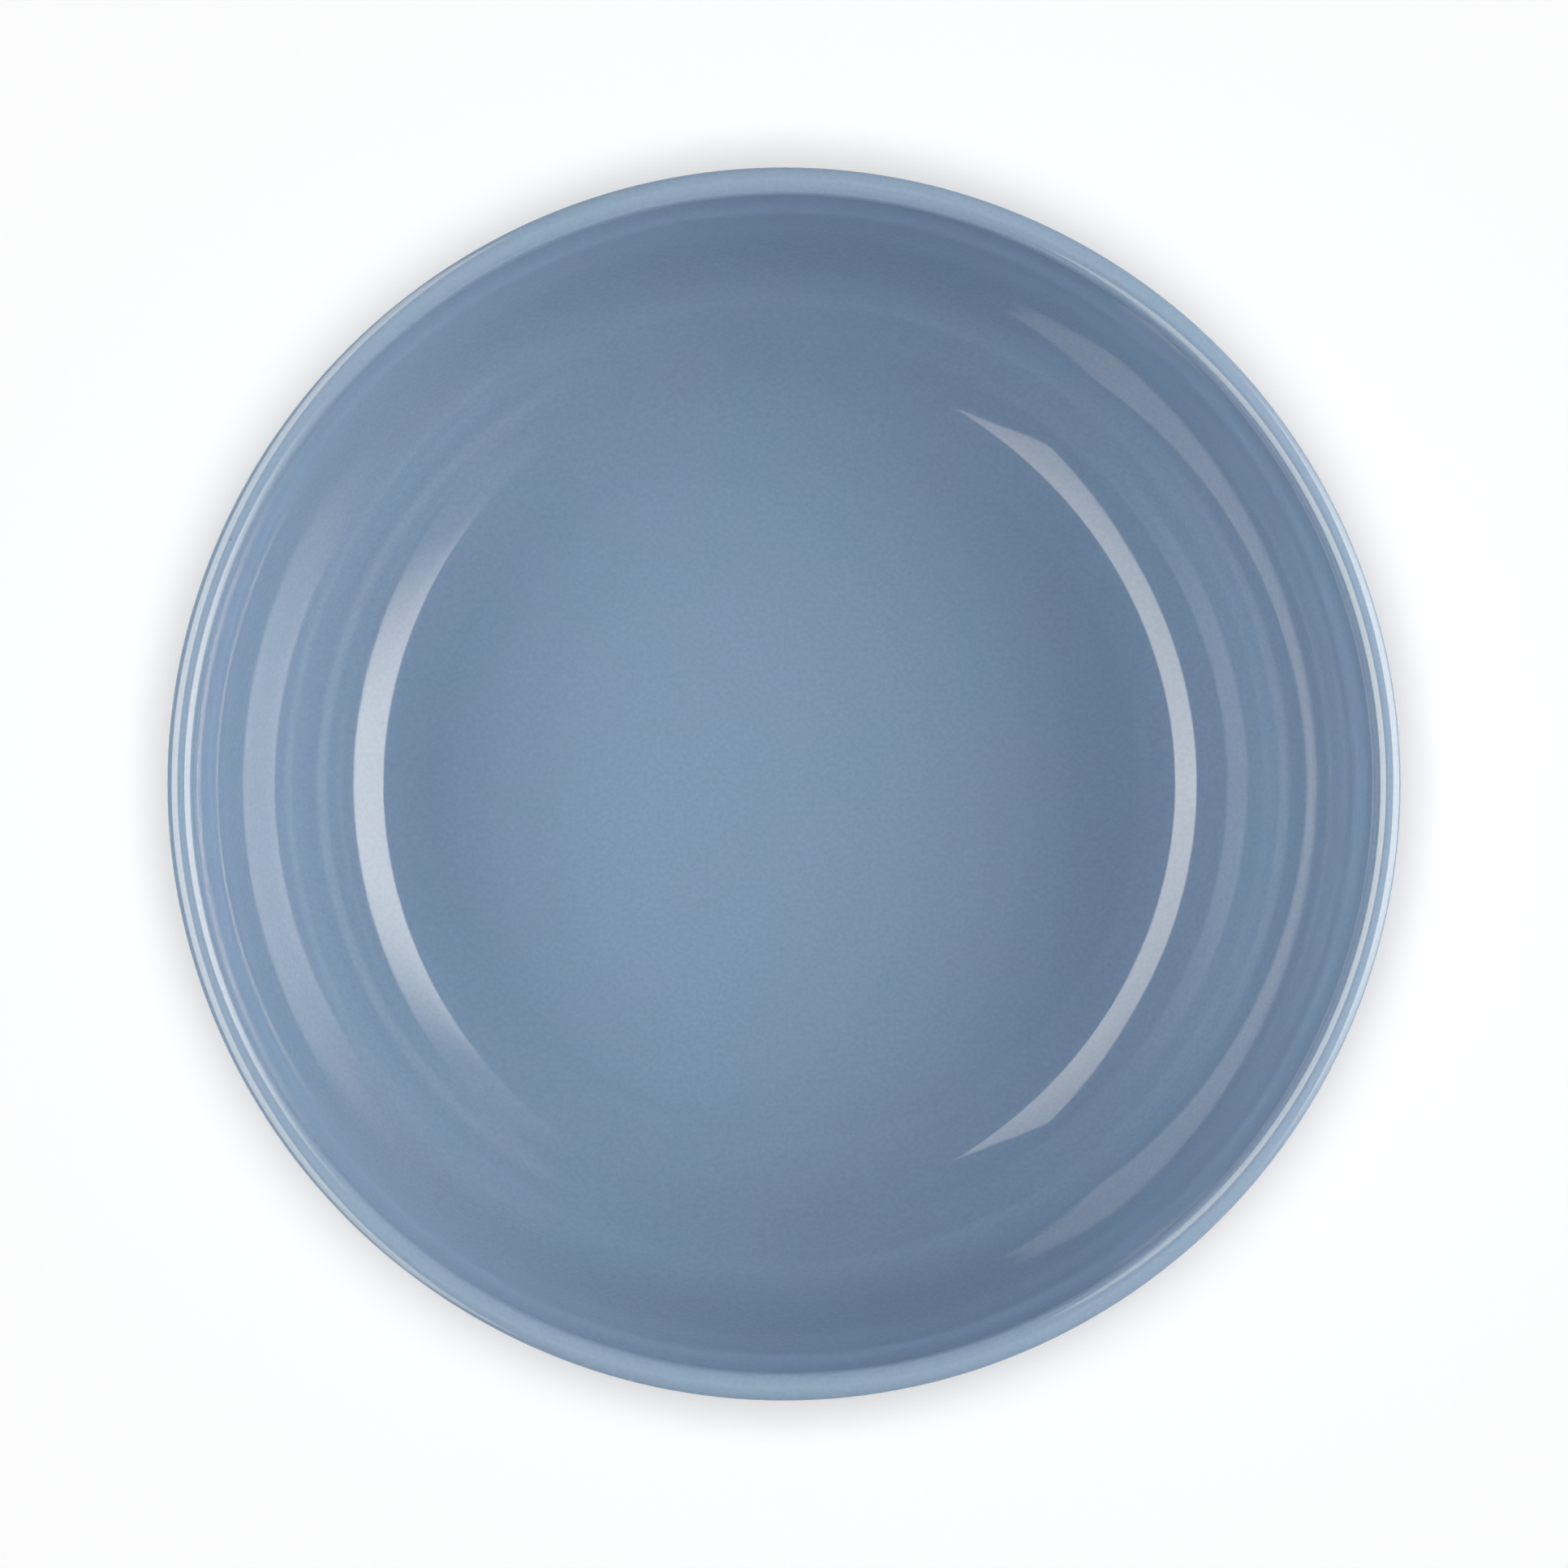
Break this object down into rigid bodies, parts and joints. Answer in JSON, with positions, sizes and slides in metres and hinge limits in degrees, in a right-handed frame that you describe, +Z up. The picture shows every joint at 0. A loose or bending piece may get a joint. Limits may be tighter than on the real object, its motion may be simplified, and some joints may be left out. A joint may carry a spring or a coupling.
{
  "type": "serving bowl",
  "caption": "Round deep glazed stoneware serving bowl with a flat floor, a steep slightly flared wall, a soft ridged lip and a bare foot ring.",
  "frame": {"origin": "centre of the circle on which the foot ring stands", "axes": "+Z up along the bowl's axis, out of its mouth; +X and +Y level and interchangeable, because the bowl is round"},
  "size_m": [0.24, 0.24, 0.082],
  "materials": {
    "stoneware": "bare fired stoneware, matte and finely grained",
    "glaze": "grey-blue gloss glaze, faintly mottled"
  },
  "bodies": {
    "root": {"stoneware_body": "stoneware", "inside_glaze": "glaze", "outside_glaze": "glaze", "underside_glaze": "glaze"}
  },
  "joints": []
}
